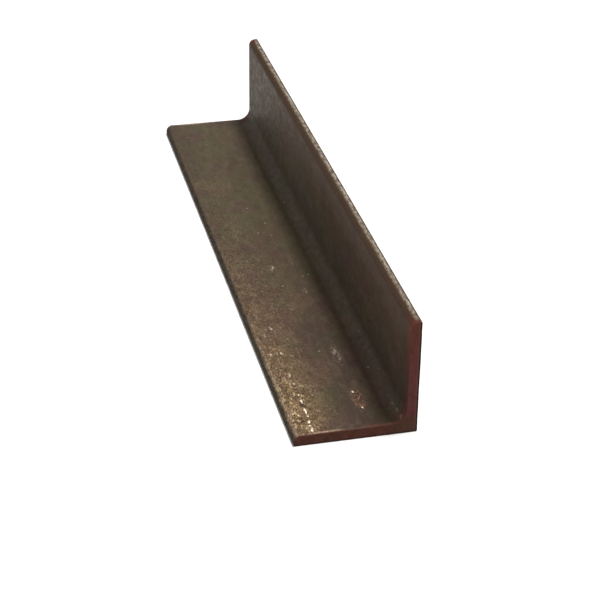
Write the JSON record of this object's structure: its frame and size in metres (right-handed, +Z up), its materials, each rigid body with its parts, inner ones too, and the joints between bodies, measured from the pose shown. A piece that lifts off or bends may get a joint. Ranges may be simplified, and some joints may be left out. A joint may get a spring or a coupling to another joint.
{
  "type": "steel angle bar",
  "caption": "Equal-leg hot-rolled steel angle with a filleted root and rounded toes, cut square to a short length, in dark mill scale with a little rust.",
  "frame": {"origin": "on the floor, under the middle of the bar's bounding box", "axes": "+Y along the bar, from the end nearest the camera to the far end; +X to the side that the upright leg stands on; +Z up from the underside of the base leg"},
  "size_m": [0.0508, 0.3048, 0.0508],
  "materials": {
    "mill_scale": "matte dark brown mill scale with a thin film of rust"
  },
  "bodies": {
    "root": {"angle_bar": "mill_scale"}
  },
  "joints": []
}
